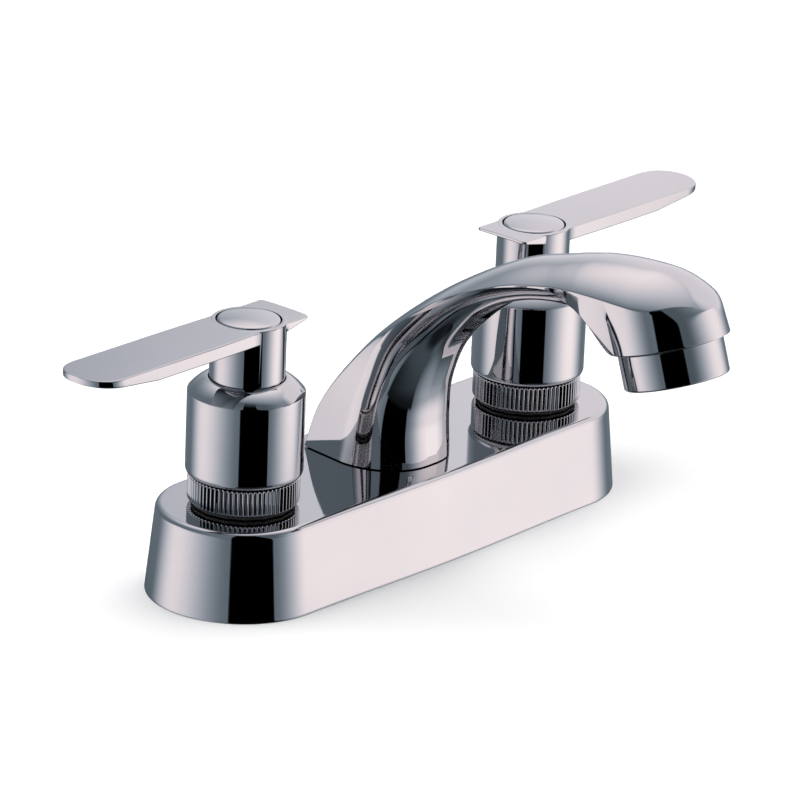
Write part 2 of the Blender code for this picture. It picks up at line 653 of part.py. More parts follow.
def make_lever(side, pivot, turn):
    """Neck, blade and tail in one casting, open below for the spindle and above for the cap."""
    name = f"lever_{side}"
    edge = 0.4 * MM
    neck = [(NECK_RADIUS - edge, NECK_BOTTOM), (NECK_RADIUS, NECK_BOTTOM + edge)]
    neck += fillet((NECK_RADIUS - edge, LEVER_TOP - 0.03 * MM - edge), edge, 0, 90, 1)
    body = turned(name, neck, bored=False)
    lever = add_object(name, body, chrome("lever chrome"), pivot, turn=turn)
    combine(lever, helper(f"blade_{side}", blade_mesh(), pivot, turn=turn), "UNION")
    floor = LEVER_TOP - RECESS_DEPTH
    hollow = [
        (SPINDLE_RADIUS + GAP, NECK_BOTTOM - 1 * MM),
        (SPINDLE_RADIUS + GAP, SPINDLE_TOP + GAP),
        (2.2 * MM, SPINDLE_TOP + GAP),
        (2.2 * MM, floor),
        (CAP_RADIUS + GAP, floor),
        (CAP_RADIUS + GAP, LEVER_TOP + 1 * MM),
    ]
    cut(lever, f"lever_hollow_{side}", turned("hollow", hollow, CAP_STEPS, bored=False), parent=pivot)


def make_cap(side, pivot):
    """The domed disc with a rounded edge that clips into the lever's recess over the screw."""
    low = LEVER_TOP - 2.9 * MM
    slope = math.radians(CAP_EDGE_SLOPE)
    reach = CAP_RADIUS - CAP_EDGE_RADIUS * (1 - math.sin(slope))
    dome = reach * math.tan(slope) / 2
    shoulder = LEVER_TOP + CAP_RISE - dome
    edge_centre = (CAP_RADIUS - CAP_EDGE_RADIUS, shoulder - CAP_EDGE_RADIUS * math.cos(slope))
    profile = [(0.0005 * MM, LEVER_TOP - 1.0 * MM), (5.6 * MM, LEVER_TOP - 1.0 * MM), (5.6 * MM, low)]
    profile.append((CAP_RADIUS, low))
    profile += fillet(edge_centre, CAP_EDGE_RADIUS, 0, 90 - CAP_EDGE_SLOPE, 3)
    dome_steps = 2
    for i in range(1, dome_steps + 1):
        share = 1 - i / dome_steps
        profile.append((max(reach * share, 0.0005 * MM), shoulder + dome * (1 - share**2)))
    name = f"lever_cap_{side}"
    add_object(name, turned(name, profile, CAP_STEPS, bored=False), chrome("cap chrome"), pivot)


def make_screw(side, pivot):
    head_low = LEVER_TOP - RECESS_DEPTH + GAP
    head_top = head_low + 1.4 * MM
    profile = [(1.9 * MM, 52.0 * MM), (1.9 * MM, head_low), (3.4 * MM, head_low)]
    profile += [(3.4 * MM, head_top - 0.3 * MM), (3.0 * MM, head_top)]
    name = f"lever_screw_{side}"
    steel = material("screw steel", (0.60, 0.61, 0.62), 0.3, 1.0)
    screw = add_object(name, turned(name, profile, 12, bored=False), steel, pivot)
    slot = rod("slot", 1.5 * MM, head_top - 0.8 * MM, head_top + 1 * MM, 4)
    slot.transform(Matrix.Scale(2.2, 4, (1, 0, 0)) @ Matrix.Scale(0.45, 4, (0, 1, 0)))
    cut(screw, f"screw_slot_{side}", slot, parent=pivot)


def toothed_circle(radius, height, tooth):
    points = circle(radius, height, 2 * SPLINE_TEETH)
    for i in range(0, len(points), 2):
        points[i] = Vector((points[i].x, points[i].y, 0.0)) * (1 - tooth / radius)
        points[i].z = height
    return points


def make_spindle(side, pivot):
    """Foot that drives the moving disc, grooves for the O-ring and the clip, and a splined end."""
    steps = (
        (DISC_RADIUS, 17.2, 0.0),
        (DISC_RADIUS, 19.7, 0.0),
        (SPINDLE_RADIUS, 19.7, 0.0),
        (SPINDLE_RADIUS, 40.6, 0.0),
        (2.8 * MM, 40.6, 0.0),
        (2.8 * MM, 42.4, 0.0),
        (SPINDLE_RADIUS, 42.4, 0.0),
        (SPINDLE_RADIUS, 46.1, 0.0),
        (3.3 * MM, 46.1, 0.0),
        (3.3 * MM, 47.6, 0.0),
        (SPINDLE_RADIUS, 47.6, 0.4 * MM),
        (SPINDLE_RADIUS, 60.0, 0.4 * MM),
    )
    rings = [toothed_circle(radius, height * MM, tooth) for radius, height, tooth in steps]
    name = f"spindle_{side}"
    spindle = add_object(name, loft(name, rings), brass("spindle brass"), pivot)
    cut(spindle, f"spindle_thread_{side}", rod("thread", 2.2 * MM, 51 * MM, 61 * MM, 12), parent=pivot)
    seal = torus("spindle_o_ring", 3.6 * MM, 0.5 * MM, 41.5 * MM)
    add_object(f"spindle_o_ring_{side}", seal, rubber("spindle rubber"), pivot)


def make_clip(side, pivot):
    """An open snap ring that keeps the spindle in its cartridge."""
    low, high = 46.4 * MM, 47.3 * MM
    steps = 14
    opening = math.radians(50)
    outline = []
    for radius, order in ((5.9 * MM, range(steps + 1)), (3.7 * MM, range(steps, -1, -1))):
        for i in order:
            turn = opening / 2 + (2 * math.pi - opening) * i / steps
            outline.append((radius * math.cos(turn), radius * math.sin(turn)))
    rings = [[Vector((x, y, z)) for x, y in outline] for z in (low, high)]
    name = f"spindle_clip_{side}"
    steel = material("clip steel", (0.50, 0.50, 0.52), 0.35, 1.0)
    add_object(name, loft(name, rings), steel, pivot)


def make_cartridge(side, x):
    """Brass housing of the ceramic valve: foot with side windows, flange, hex and neck."""
    name = f"cartridge_body_{side}"
    flange_low = CHAMBER_TOP + GAP
    flange_top = flange_low + CARTRIDGE_FLANGE
    outer = [
        (CARTRIDGE_FOOT_RADIUS, CARTRIDGE_FOOT),
        (CARTRIDGE_FOOT_RADIUS, 21.5 * MM),
        (CHAMBER_BORE - GAP, 21.5 * MM),
        (CHAMBER_BORE - GAP, flange_low),
        (11.9 * MM, flange_low),
        (11.9 * MM, flange_top),
        (6.4 * MM, flange_top),
        (6.4 * MM, CARTRIDGE_NECK_TOP),
    ]
    mesh = turned(name, outer, HIDDEN_STEPS, bored=False)
    body = add_object(name, mesh, brass("cartridge brass"), location=(x, 0, 0))
    hexagon = rod("hex", 9.8 * MM, flange_top - 1 * MM, 41.3 * MM, 6)
    join(body, f"cartridge_hex_{side}", hexagon, (x, 0, 0))
    bore = [
        (CARTRIDGE_FOOT_BORE, CARTRIDGE_FOOT - 1 * MM),
        (CARTRIDGE_FOOT_BORE, 20.2 * MM),
        (SPINDLE_RADIUS + 0.3 * MM, 20.2 * MM),
        (SPINDLE_RADIUS + 0.3 * MM, CARTRIDGE_NECK_TOP + 1 * MM),
    ]
    cut(body, f"cartridge_bore_{side}", turned("bore", bore, HIDDEN_STEPS, bored=False), (x, 0, 0))
    window = rod("window", 1.4 * MM, -12 * MM, 12 * MM, 6)
    window.transform(Matrix.Translation((0, 0, 15.8 * MM)) @ Matrix.Rotation(math.pi / 2, 4, "Y"))
    cut(body, f"cartridge_window_{side}", window, (x, 0, 0))


def disc_mesh(name, low, high):
    """A ceramic disc with two sector-shaped ports."""
    bm = bmesh.new()
    outline = []
    steps = HIDDEN_STEPS
    for i in range(steps):
        turn = 2 * math.pi * i / steps
        notch = abs(math.sin(turn)) < 0.45
        radius = DISC_RADIUS - (1.8 * MM if notch else 0.0)
        outline.append((radius * math.cos(turn), radius * math.sin(turn)))
    rows = [[bm.verts.new((x, y, z)) for x, y in outline] for z in (low, high)]
    for i in range(steps):
        bm.faces.new((rows[0][i - 1], rows[0][i], rows[1][i], rows[1][i - 1]))
    bm.faces.new(reversed(rows[0]))
    bm.faces.new(rows[1])
    return mesh_from(bm, name)


def make_discs(side, x, pivot):
    """The seat seal, the fixed disc with its ports across, and the moving disc turned to close them."""
    seal = tube("seat_seal", 3.6 * MM, 5.5 * MM, SEAT_TOP + GAP, SEAT_TOP + 1.0 * MM, HIDDEN_STEPS)
    add_object(f"seat_seal_{side}", seal, rubber("seat rubber"), location=(x, 0, 0))
    fixed = disc_mesh("fixed_disc", CARTRIDGE_FOOT + 0.1 * MM, 14.4 * MM)
    add_object(f"fixed_disc_{side}", fixed, ceramic("fixed ceramic"), location=(x, 0, 0))
    moving = disc_mesh("moving_disc", 14.7 * MM, 16.9 * MM)
    moving = add_object(f"moving_disc_{side}", moving, ceramic("moving ceramic"), pivot)
    moving.rotation_euler = (0.0, 0.0, math.pi / 2)


def lever_pivot(side, x):
    """An empty on the lever's axis, which carries everything that turns with it."""
    pivot = bpy.data.objects.new(f"{side}_lever_axis", None)
    bpy.context.scene.collection.objects.link(pivot)
    pivot.location = (x, 0.0, 0.0)
    return pivot


def make_valve(side, x):
    pivot = lever_pivot(side, x)
    outward = math.pi if x < 0 else 0.0
    make_ring(side, x)
    make_bonnet(side, x)
    make_cartridge(side, x)
    make_discs(side, x, pivot)
    make_spindle(side, pivot)
    make_clip(side, pivot)
    make_lever(side, pivot, outward)
    make_screw(side, pivot)
    make_cap(side, pivot)


def main():
    for old in list(bpy.data.objects):
        bpy.data.objects.remove(old, do_unlink=True)
    make_base_cover()
    make_base_gasket()
    make_waterway()
    make_spout_fixing()
    make_spout()
    make_aerator()
    for side, x in sides():
        make_valve(side, x)


main()
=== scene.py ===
# Looks of the basin mixer tap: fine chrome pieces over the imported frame, finishes, studio and camera.
import json
import math

import bmesh
import bpy
from mathutils import Matrix, Vector


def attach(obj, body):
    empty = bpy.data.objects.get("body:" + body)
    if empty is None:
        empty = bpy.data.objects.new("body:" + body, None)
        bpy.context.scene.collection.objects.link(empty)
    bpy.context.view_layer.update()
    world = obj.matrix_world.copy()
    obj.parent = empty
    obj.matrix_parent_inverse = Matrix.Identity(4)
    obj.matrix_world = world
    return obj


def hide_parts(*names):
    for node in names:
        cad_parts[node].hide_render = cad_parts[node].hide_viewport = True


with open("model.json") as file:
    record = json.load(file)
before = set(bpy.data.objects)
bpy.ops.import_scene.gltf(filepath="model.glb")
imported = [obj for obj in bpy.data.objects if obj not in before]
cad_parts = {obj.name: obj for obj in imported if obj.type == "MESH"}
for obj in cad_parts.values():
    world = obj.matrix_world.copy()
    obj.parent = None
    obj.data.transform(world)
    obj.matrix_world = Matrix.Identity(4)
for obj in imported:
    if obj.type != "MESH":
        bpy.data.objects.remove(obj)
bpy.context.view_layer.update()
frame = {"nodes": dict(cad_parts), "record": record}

MM = 0.001
GAP = 0.3 * MM
GUARD = 0.4 * MM  # between a rounded edge and the ring that keeps it crisp

# Base cover
HANDLE_SPACING = 101.6 * MM
BASE_HEIGHT = 21.6 * MM
BASE_END_CENTRE = 51.5 * MM
BASE_END_RADIUS = 22.1 * MM
BASE_SIDE_BOW = 1.0 * MM
BASE_DRAFT = math.radians(5.6)
BASE_EDGE_RADIUS = 1.6 * MM
BASE_WALL = 2.2 * MM
BASE_TOP_WALL = 2.4 * MM
CHAMBER_RADIUS = 10.5 * MM
CHAMBER_TOP = 33.0 * MM
SPIGOT_RADIUS = 7.6 * MM
SPIGOT_BOTTOM = 3.2 * MM

# Knurled ring and bonnet
RING_RADIUS = 13.2 * MM
RING_BORE = 10.85 * MM
RING_BOTTOM = 22.8 * MM
RING_TOP = 29.0 * MM
RING_RIBS = 72
RING_RIB_HEIGHT = 0.5 * MM
BONNET_RADIUS = 13.85 * MM
BONNET_BOTTOM = 29.4 * MM
BONNET_RIM = 50.0 * MM
BONNET_TOP = 53.0 * MM
BONNET_WALL = 1.55 * MM
BONNET_RIM_TURN = 41.0  # degrees that the rim rolls over before the shoulder starts
BONNET_SHOULDER_POWER = 1.7  # 1 is a straight cone, more is rounder
BONNET_HOLE = 9.15 * MM
BONNET_TOP_WALL = 1.9 * MM
BONNET_CONE_DEPTH = 4.2 * MM
BONNET_LEDGE = 1.0 * MM
CARTRIDGE_FLANGE = 3.0 * MM

# Lever and cap
NECK_RADIUS = 8.9 * MM
NECK_BOTTOM = 49.9 * MM
NECK_DROP = 0.03 * MM  # keeps the neck's top just under the blade's
LEVER_TOP = 67.15 * MM
LEVER_CROWN = 0.2 * MM
BLADE_REACH = 57.0 * MM
BLADE_HALF_WIDTH = 8.1 * MM
BLADE_EDGE = 0.35 * MM
BLADE_FULL_WIDTH_AT = 20 * MM
BLADE_TIP_LENGTH = 7.8 * MM
BLADE_TIP_POWER = 2.3  # 2 is an ellipse, more is squarer
BLADE_ROOT_THICKNESS = 3.5 * MM
BLADE_TIP_THICKNESS = 1.5 * MM
BLADE_TAPER_START = 38.0 * MM
TAIL_REACH = 12.4 * MM
TAIL_HALF_WIDTH = 7.7 * MM
TAIL_END_THICKNESS = 0.8 * MM
TAIL_CORNER = 0.9 * MM
CAP_RADIUS = 7.5 * MM
CAP_RISE = 1.05 * MM
CAP_DEPTH = 2.9 * MM
CAP_HOLLOW_RADIUS = 5.6 * MM
CAP_HOLLOW_TOP = 1.0 * MM
CAP_EDGE_RADIUS = 0.9 * MM
CAP_EDGE_SLOPE = 12.0  # degrees, where the dome meets the rounded edge
RECESS_DEPTH = 3.2 * MM
SCREW_HOLE_RADIUS = 2.2 * MM
SPINDLE_RADIUS = 4.1 * MM
SPINDLE_TOP = 60.0 * MM

# Spout and aerator
SPOUT_FOOT = BASE_HEIGHT + GAP
OUTLET_TILT = math.radians(18.4)
OUTLET_CENTRE = Vector((0.0, -83.8 * MM, 71.5 * MM))
NOSE_RIM_RADIUS = 14.1 * MM
NOSE_CREASE_RADIUS = 13.3 * MM
NOSE_NECKING = 0.7 * MM
NOSE_BACK_CROWN = 6.1 * MM
NOSE_CREASE_DROP = 0.5 * MM  # of the crease, from over the outlet to the back of the nose
NOSE_LEAD_IN = 3.3 * MM  # how far into the nose the arch's last span is steered
NOSE_RIM_EDGE = 0.3 * MM
NOSE_CUT_START = 6.2 * MM
NOSE_CUT_WIDTH = 12.55 * MM
NOSE_CUT_HEIGHT = 10.2 * MM
NOSE_CUT_SPREAD = 2.0 * MM  # how far the cut corners open again at the back
CREASE_HEIGHT = 82.2 * MM
NOSE_CROWN = 6.8 * MM
NOSE_EASE = 2.4 * MM  # how far the crease is rounded at the front of the nose
NOSE_EASE_START = 0.35  # as shares of the way from over the outlet to the nose's front
NOSE_EASE_LENGTH = 0.6
CREASE_EASE = 0.15 * MM
CHANNEL_RADIUS = 5.4 * MM
CHANNEL_OFFSET = 0.3 * MM  # of its middle, towards the inner face
CHANNEL_END = 0.97  # as a share of the arch
CHANNEL_INTO_NOSE = Vector((0.0, -9.0 * MM, -1.0 * MM))
CHANNEL_HALF_WIDTH = 8.0 * MM
CHANNEL_HALF_DEPTH = 7.0 * MM
CHANNEL_SIDE_WALL = 4.2 * MM
CHANNEL_FACE_WALL = 2.9 * MM
GROOVE_RADIUS = 6.05 * MM
GROOVE_BOTTOM = 16.2 * MM
GROOVE_TOP = 18.2 * MM
PORT_RADIUS = 2.6 * MM
PORT_HEIGHT = 12.6 * MM
OUTLET_SPIGOT_RADIUS = 10.7 * MM
OUTLET_SPIGOT_LENGTH = 3.6 * MM
OUTLET_BORE = 7.0 * MM
AERATOR_RADIUS = 12.3 * MM
AERATOR_LENGTH = 8.9 * MM
AERATOR_LIP = 1.0 * MM
AERATOR_MOUTH = 8.8 * MM

# Fineness of the meshes
ROUND_STEPS = 160
CAP_STEPS = 128
BORE_STEPS = 64
CHANNEL_STEPS = 12
ARCH_STEPS = 110
NOSE_STEPS = 30
FACE_STEPS = 18
SIDE_STEPS = 6
CORNER_STEPS = 10
EASE_STEPS = 5
WELD = 0.0005 * MM

# Camera, as fitted to the photograph's edges
CAMERA_TURN = math.radians(49.071)
CAMERA_RISE = math.radians(20.507)
CAMERA_ROLL = math.radians(2.349)
CAMERA_DISTANCE = 1.433
CAMERA_LENS = 270.0
CAMERA_AIM_RIGHT = 2.41 * MM
CAMERA_AIM_DOWN = 0.79 * MM

# Studio, with the tint that the light has at each brightness
STUDIO_HEIGHT = 35.0 * MM
TENT_RADIUS = 0.42
TENT_STRENGTH = 1.65
PANEL_RISE = math.radians(57.0)
LAMP_DISTANCE = 1.6
LAMP_SIZE = 1.6
LAMP_POWER = 22.0
FLOOR_REACH = 3.0
STUDIO_TINTS = (
    (0.0, (0.0, 0.0, 0.0)),
    (0.055, (0.044, 0.057, 0.067)),
    (0.135, (0.112, 0.138, 0.162)),
    (0.305, (0.282, 0.307, 0.345)),
    (0.51, (0.512, 0.507, 0.545)),
    (0.65, (0.69, 0.638, 0.652)),
    (0.80, (0.86, 0.783, 0.783)),
)


def sides():
    return (("left", -HANDLE_SPACING / 2), ("right", HANDLE_SPACING / 2))


def scene_object(name, data):
    made = bpy.data.objects.new(name, data)
    bpy.context.scene.collection.objects.link(made)
    return made


def bearing(turn, rise):
    """The direction from the tap, turned from straight in front towards its left, and raised."""
    return Vector((-math.sin(turn) * math.cos(rise), -math.cos(turn) * math.cos(rise), math.sin(rise)))


def between(start, end, steps):
    """Even steps from start to end, without the start itself."""
    return [start + (end - start) * i / steps for i in range(1, steps + 1)]


def add_camera():
    turn, roll = CAMERA_TURN, CAMERA_ROLL
    back = bearing(turn, CAMERA_RISE)
    level = Vector((math.cos(turn), -math.sin(turn), 0.0))
    upright = back.cross(level)
    right = math.cos(roll) * level + math.sin(roll) * upright
    up = math.cos(roll) * upright - math.sin(roll) * level
    middle = Vector((0.0, 0.0, STUDIO_HEIGHT))
    eye = middle + back * CAMERA_DISTANCE
    aim = middle + right * CAMERA_AIM_RIGHT - up * CAMERA_AIM_DOWN
    back = (eye - aim).normalized()
    right = (right - back * right.dot(back)).normalized()
    up = back.cross(right)
    lens = bpy.data.cameras.new("photo_camera")
    lens.lens = CAMERA_LENS
    lens.sensor_width = 36.0
    lens.clip_end = 20.0
    camera = scene_object("photo_camera", lens)
    camera.matrix_world = Matrix((
        (right.x, up.x, back.x, eye.x),
        (right.y, up.y, back.y, eye.y),
        (right.z, up.z, back.z, eye.z),
        (0.0, 0.0, 0.0, 1.0),
    ))
    bpy.context.scene.camera = camera


class Graph:
    """Adds shader nodes to a tree; all but node() return the new node's output."""

    def __init__(self, tree):
        self.tree = tree

    def node(self, kind, inputs=None, **settings):
        made = self.tree.nodes.new(kind)
        for key, value in settings.items():
            setattr(made, key, value)
        for key, value in (inputs or {}).items():
            if isinstance(value, bpy.types.NodeSocket):
                self.tree.links.new(value, made.inputs[key])
            else:
                made.inputs[key].default_value = value
        return made

    def math(self, operation, first, second=0.0, third=0.0):
        return self.node("ShaderNodeMath", {0: first, 1: second, 2: third}, operation=operation).outputs[0]

    def step(self, value, low, high, start=0.0, end=1.0):
        """A soft step from start to end as the value goes from low to high."""
        inputs = {"Value": value, "From Min": low, "From Max": high, "To Min": start, "To Max": end}
        return self.node("ShaderNodeMapRange", inputs, interpolation_type="SMOOTHSTEP").outputs["Result"]

    def window(self, value, low, high, soft):
        rise = self.step(value, low - soft, low + soft)
        fall = self.step(value, high - soft, high + soft, 1.0, 0.0)
        return self.math("MULTIPLY", rise, fall)

    def mix(self, share, first, second):
        made = self.node("ShaderNodeMix", {"Factor": share}, data_type="RGBA")
        for socket, value in ((made.inputs[6], first), (made.inputs[7], second)):
            if isinstance(value, bpy.types.NodeSocket):
                self.tree.links.new(value, socket)
            else:
                socket.default_value = (*value, 1.0)
        return made.outputs[2]

    def mix_value(self, share, first, second):
        made = self.node("ShaderNodeMix", {"Factor": share}, data_type="FLOAT")
        self.tree.links.new(first, made.inputs[2])
        self.tree.links.new(second, made.inputs[3])
        return made.outputs[0]

    def product(self, first, *others):
        for other in others:
            first = self.math("MULTIPLY", first, other)
        return first

    def noise(self, vector, scale, detail=3.0):
        inputs = {"Vector": vector, "Scale": scale, "Detail": detail}
        return self.node("ShaderNodeTexNoise", inputs).outputs["Fac"]


def finish_material(name, colours, roughness, metallic, grain, bump):
    """A finish whose colour, roughness and bump all vary: grain is the noise scale per metre."""
    made = bpy.data.materials.new(name)
    made.use_nodes = True
    graph = Graph(made.node_tree)
    shader = made.node_tree.nodes["Principled BSDF"]
    shader.inputs["Metallic"].default_value = metallic
    place = graph.node("ShaderNodeTexCoord").outputs["Object"]
    broad = graph.noise(place, grain * 0.12)
    fine = graph.noise(place, grain)
    colour = graph.mix(graph.step(broad, 0.3, 0.7), *colours)
    made.node_tree.links.new(colour, shader.inputs["Base Color"])
    rough = graph.step(fine, 0.3, 0.75, *roughness)
    made.node_tree.links.new(rough, shader.inputs["Roughness"])
    relief = graph.node("ShaderNodeBump", {"Height": fine, "Strength": bump[0], "Distance": bump[1]})
    made.node_tree.links.new(relief.outputs["Normal"], shader.inputs["Normal"])
    return made


def make_finishes():
    """One finish for each material slot of the record."""
    return {
        "chrome": finish_material(
            "polished_chrome", ((0.62, 0.61, 0.62), (0.59, 0.59, 0.605)), (0.035, 0.06), 1.0, 260.0,
            (0.02, 0.02 * MM),
        ),
        "brass": finish_material(
            "cast_brass", ((0.72, 0.54, 0.29), (0.62, 0.45, 0.22)), (0.28, 0.45), 1.0, 1800.0,
            (0.25, 0.05 * MM),
        ),
        "steel": finish_material(
            "stainless_steel", ((0.58, 0.58, 0.60), (0.50, 0.50, 0.52)), (0.25, 0.4), 1.0, 2600.0,
            (0.15, 0.03 * MM),
        ),
        "ceramic": finish_material(
            "lapped_ceramic", ((0.88, 0.87, 0.84), (0.84, 0.83, 0.80)), (0.15, 0.28), 0.0, 1500.0,
            (0.05, 0.02 * MM),
        ),
        "rubber": finish_material(
            "black_rubber", ((0.035, 0.034, 0.033), (0.05, 0.048, 0.045)), (0.6, 0.85), 0.0, 1400.0,
            (0.3, 0.05 * MM),
        ),
        "gasket_foam": finish_material(
            "gasket_foam", ((0.045, 0.045, 0.045), (0.08, 0.08, 0.08)), (0.8, 0.95), 0.0, 900.0,
            (0.6, 0.15 * MM),
        ),
        "insert_plastic": finish_material(
            "insert_plastic", ((0.55, 0.57, 0.60), (0.50, 0.52, 0.55)), (0.35, 0.5), 0.0, 1200.0,
            (0.15, 0.04 * MM),
        ),
    }


def mesh_from(bm, name):
    bmesh.ops.remove_doubles(bm, verts=bm.verts, dist=WELD)
    bmesh.ops.recalc_face_normals(bm, faces=bm.faces)
    mesh = bpy.data.meshes.new(name)
    bm.to_mesh(mesh)
    bm.free()
    return mesh


def loft(name, rings, closed=False):
    """A closed surface through rings of points, with flat ends, or one that runs round to its first ring."""
    bm = bmesh.new()
    rows = [[bm.verts.new(point) for point in ring] for ring in rings]
    pairs = list(zip(rows, rows[1:]))
    if closed:
        pairs.append((rows[-1], rows[0]))
    for low, high in pairs:
        for i in range(len(low)):
            bm.faces.new((low[i - 1], low[i], high[i], high[i - 1]))
    if not closed:
        bm.faces.new(rows[0])
        bm.faces.new(reversed(rows[-1]))
    return mesh_from(bm, name)


def circle(radius, height, steps=ROUND_STEPS):
    turns = [2 * math.pi * i / steps for i in range(steps)]
    return [Vector((radius * math.cos(t), radius * math.sin(t), height)) for t in turns]


def turned(name, profile, steps=ROUND_STEPS, bored=True):
    """Turns a profile of (radius, height) about Z: a closed loop round a bore, or a solid from end to end."""
    return loft(name, [circle(r, z, steps) for r, z in profile], closed=bored)


def tube(name, inner, outer, low, high, steps=ROUND_STEPS):
    return turned(name, [(inner, low), (outer, low), (outer, high), (inner, high)], steps)


def rod(name, radius, low, high, steps=ROUND_STEPS):
    return turned(name, [(radius, low), (radius, high)], steps, bored=False)


def fillet(centre, radius, start, end, steps):
    """Points of an arc in a profile, by angle in degrees from +radius towards +height."""
    angles = [math.radians(start + (end - start) * i / steps) for i in range(steps + 1)]
    return [(centre[0] + radius * math.cos(a), centre[1] + radius * math.sin(a)) for a in angles]


def placed(mesh, x=0.0, turn=0.0):
    mesh.transform(Matrix.Translation((x, 0.0, 0.0)) @ Matrix.Rotation(turn, 4, "Z"))
    return mesh


def combined(mesh, *steps):
    """The mesh after each (operation, other mesh), with the helpers removed again."""
    target = scene_object("work", mesh)
    helpers = []
    for operation, other in steps:
        tool = scene_object("tool", other)
        helpers.append(tool)
        step = target.modifiers.new("step", "BOOLEAN")
        step.operation = operation
        step.solver = "EXACT"
        step.object = tool
    graph = bpy.context.evaluated_depsgraph_get()
    result = bpy.data.meshes.new_from_object(target.evaluated_get(graph))
    for used in [target, *helpers]:
        bpy.data.objects.remove(used, do_unlink=True)
    return result


def chrome_piece(name, mesh, body, node, sharp=30.0):
    """A chrome piece that stands for a node of the frame."""
    made = scene_object(name, mesh)
    mesh.materials.clear()
    mesh.materials.append(finishes["chrome"])
    mesh.shade_smooth()
    mesh.set_sharp_from_angle(angle=math.radians(sharp))
    weighting = made.modifiers.new("even normals", "WEIGHTED_NORMAL")
    weighting.keep_sharp = True
    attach(made, body)
    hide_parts(node)
    return made


def base_outline(inset, height, end_steps=72, side_steps=24):
    """The base's plan: two round ends joined by slightly swelling sides."""
    radius = BASE_END_RADIUS - inset
    half = []
    for i in range(end_steps + 1):
        turn = -math.pi / 2 + math.pi * i / end_steps
        half.append((BASE_END_CENTRE + radius * math.cos(turn), radius * math.sin(turn)))
    for i in range(1, side_steps):
        x = BASE_END_CENTRE * (1 - 2 * i / side_steps)
        bow = BASE_SIDE_BOW * math.cos(math.pi * x / (2 * BASE_END_CENTRE)) ** 2
        half.append((x, radius + bow))
    outline = half + [(-x, -y) for x, y in half]
    return [Vector((x, y, height)) for x, y in outline]


def make_base_cover():
    slope = math.tan(BASE_DRAFT)
    inner_top = BASE_HEIGHT - BASE_TOP_WALL
    edge_low = BASE_HEIGHT - BASE_EDGE_RADIUS * (1 - math.sin(BASE_DRAFT))
    edge_centre = slope * edge_low + BASE_EDGE_RADIUS * math.cos(BASE_DRAFT)
    foot = 0.25 * MM
    rings = [
        base_outline(BASE_WALL + slope * inner_top, inner_top),
        base_outline(BASE_WALL, 0.0),
        base_outline(foot, 0.0),
        base_outline(0.3 * foot, 0.3 * foot),
        base_outline(slope * foot, foot),
        base_outline(slope * (foot + GUARD), foot + GUARD),
        base_outline(slope * (edge_low - GUARD), edge_low - GUARD),
    ]
    edge_steps = 10
    for i in range(edge_steps + 1):
        turn = BASE_DRAFT + (math.pi / 2 - BASE_DRAFT) * i / edge_steps
        inset = edge_centre - BASE_EDGE_RADIUS * math.cos(turn)
        height = BASE_HEIGHT - BASE_EDGE_RADIUS * (1 - math.sin(turn))
        rings.append(base_outline(inset, height))
    rings.append(base_outline(edge_centre + GUARD, BASE_HEIGHT))
    low, high = inner_top - 1 * MM, BASE_HEIGHT + 1 * MM
    clearance = 0.5 * MM
    holes = [placed(rod("hole", CHAMBER_RADIUS + clearance, low, high, BORE_STEPS), x) for _, x in sides()]
    holes.append(rod("hole", SPIGOT_RADIUS + clearance, low, high, BORE_STEPS))
    mesh = combined(loft("fine_base_cover", rings), *[("DIFFERENCE", hole) for hole in holes])
    chrome_piece("fine_base_cover", mesh, "tap_body", "base_cover")


def spline(points, share):
    """A smooth curve through the points, read at a share from 0 to 1; the last point only steers its end."""
    spans = len(points) - 2
    place = min(max(share, 0.0), 1.0) * spans
    i = min(int(place), spans - 1)
    t = place - i
    p1, p2, p3 = points[i : i + 3]
    p0 = points[i - 1] if i > 0 else 2 * p1 - p2
    return 0.5 * (
        2 * p1
        + (p2 - p0) * t
        + (2 * p0 - 5 * p1 + 4 * p2 - p3) * t * t
        + (3 * p1 - p0 - 3 * p2 + p3) * t * t * t
    )


def outlet_point(forward, up):
    """A point in the spout's middle plane, measured from the outlet rim's centre."""
    tilt = OUTLET_TILT
    ahead = Vector((0.0, -math.cos(tilt), math.sin(tilt)))
    above = Vector((0.0, math.sin(tilt), math.cos(tilt)))
    return OUTLET_CENTRE + ahead * forward + above * up


def crease_above(forward):
    """How far the crease, which is nearly level, lies above the tilted rim."""
    rim = outlet_point(forward, 0.0)
    drop = NOSE_CREASE_DROP * max(-forward / NOSE_RIM_RADIUS, 0.0) ** 2
    return (CREASE_HEIGHT - drop - rim.z) / math.cos(OUTLET_TILT)


